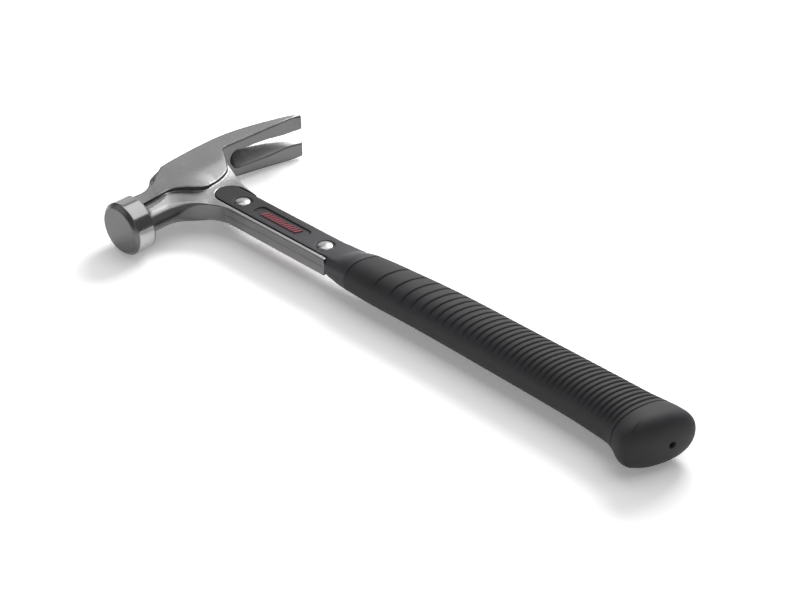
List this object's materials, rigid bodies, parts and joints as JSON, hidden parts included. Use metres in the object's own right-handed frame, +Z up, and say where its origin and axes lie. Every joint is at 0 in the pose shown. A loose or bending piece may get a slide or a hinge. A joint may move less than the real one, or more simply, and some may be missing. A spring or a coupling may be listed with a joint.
{
  "type": "framing hammer",
  "caption": "Framing hammer with a round poll, split rip claws, a T-section steel shank with riveted side plates, a ribbed rubber grip and a flared butt with a hang hole.",
  "frame": {"origin": "centre of the bounding box in X and Y, on the surface the hammer lies on", "axes": "+X along the handle from the head to the butt, -Y the way the striking face points, +Y towards the claws, +Z up through the thickness"},
  "size_m": [0.3838, 0.1528, 0.0328],
  "materials": {
    "forged_steel": "satin, polished at the face and the edges",
    "magnet_plating": "nickel plated",
    "shell_nylon": "dark grey glass-filled nylon, semi-gloss",
    "badge_red": "dull red",
    "rivet_steel": "bright polished",
    "pin_steel": "plain",
    "grip_rubber": "matt dark grey"
  },
  "bodies": {
    "root": {"head_forging": "forged_steel", "starter_magnet": "magnet_plating", "handle_shell_left": "shell_nylon", "handle_shell_right": "shell_nylon", "badge_left": "badge_red", "badge_right": "badge_red", "upper_rivet_post": "rivet_steel", "upper_rivet_cap": "rivet_steel", "lower_rivet_post": "rivet_steel", "lower_rivet_cap": "rivet_steel", "upper_tang_pin": "pin_steel", "lower_tang_pin": "pin_steel", "grip_sleeve": "grip_rubber", "butt_cap": "grip_rubber"}
  },
  "joints": []
}
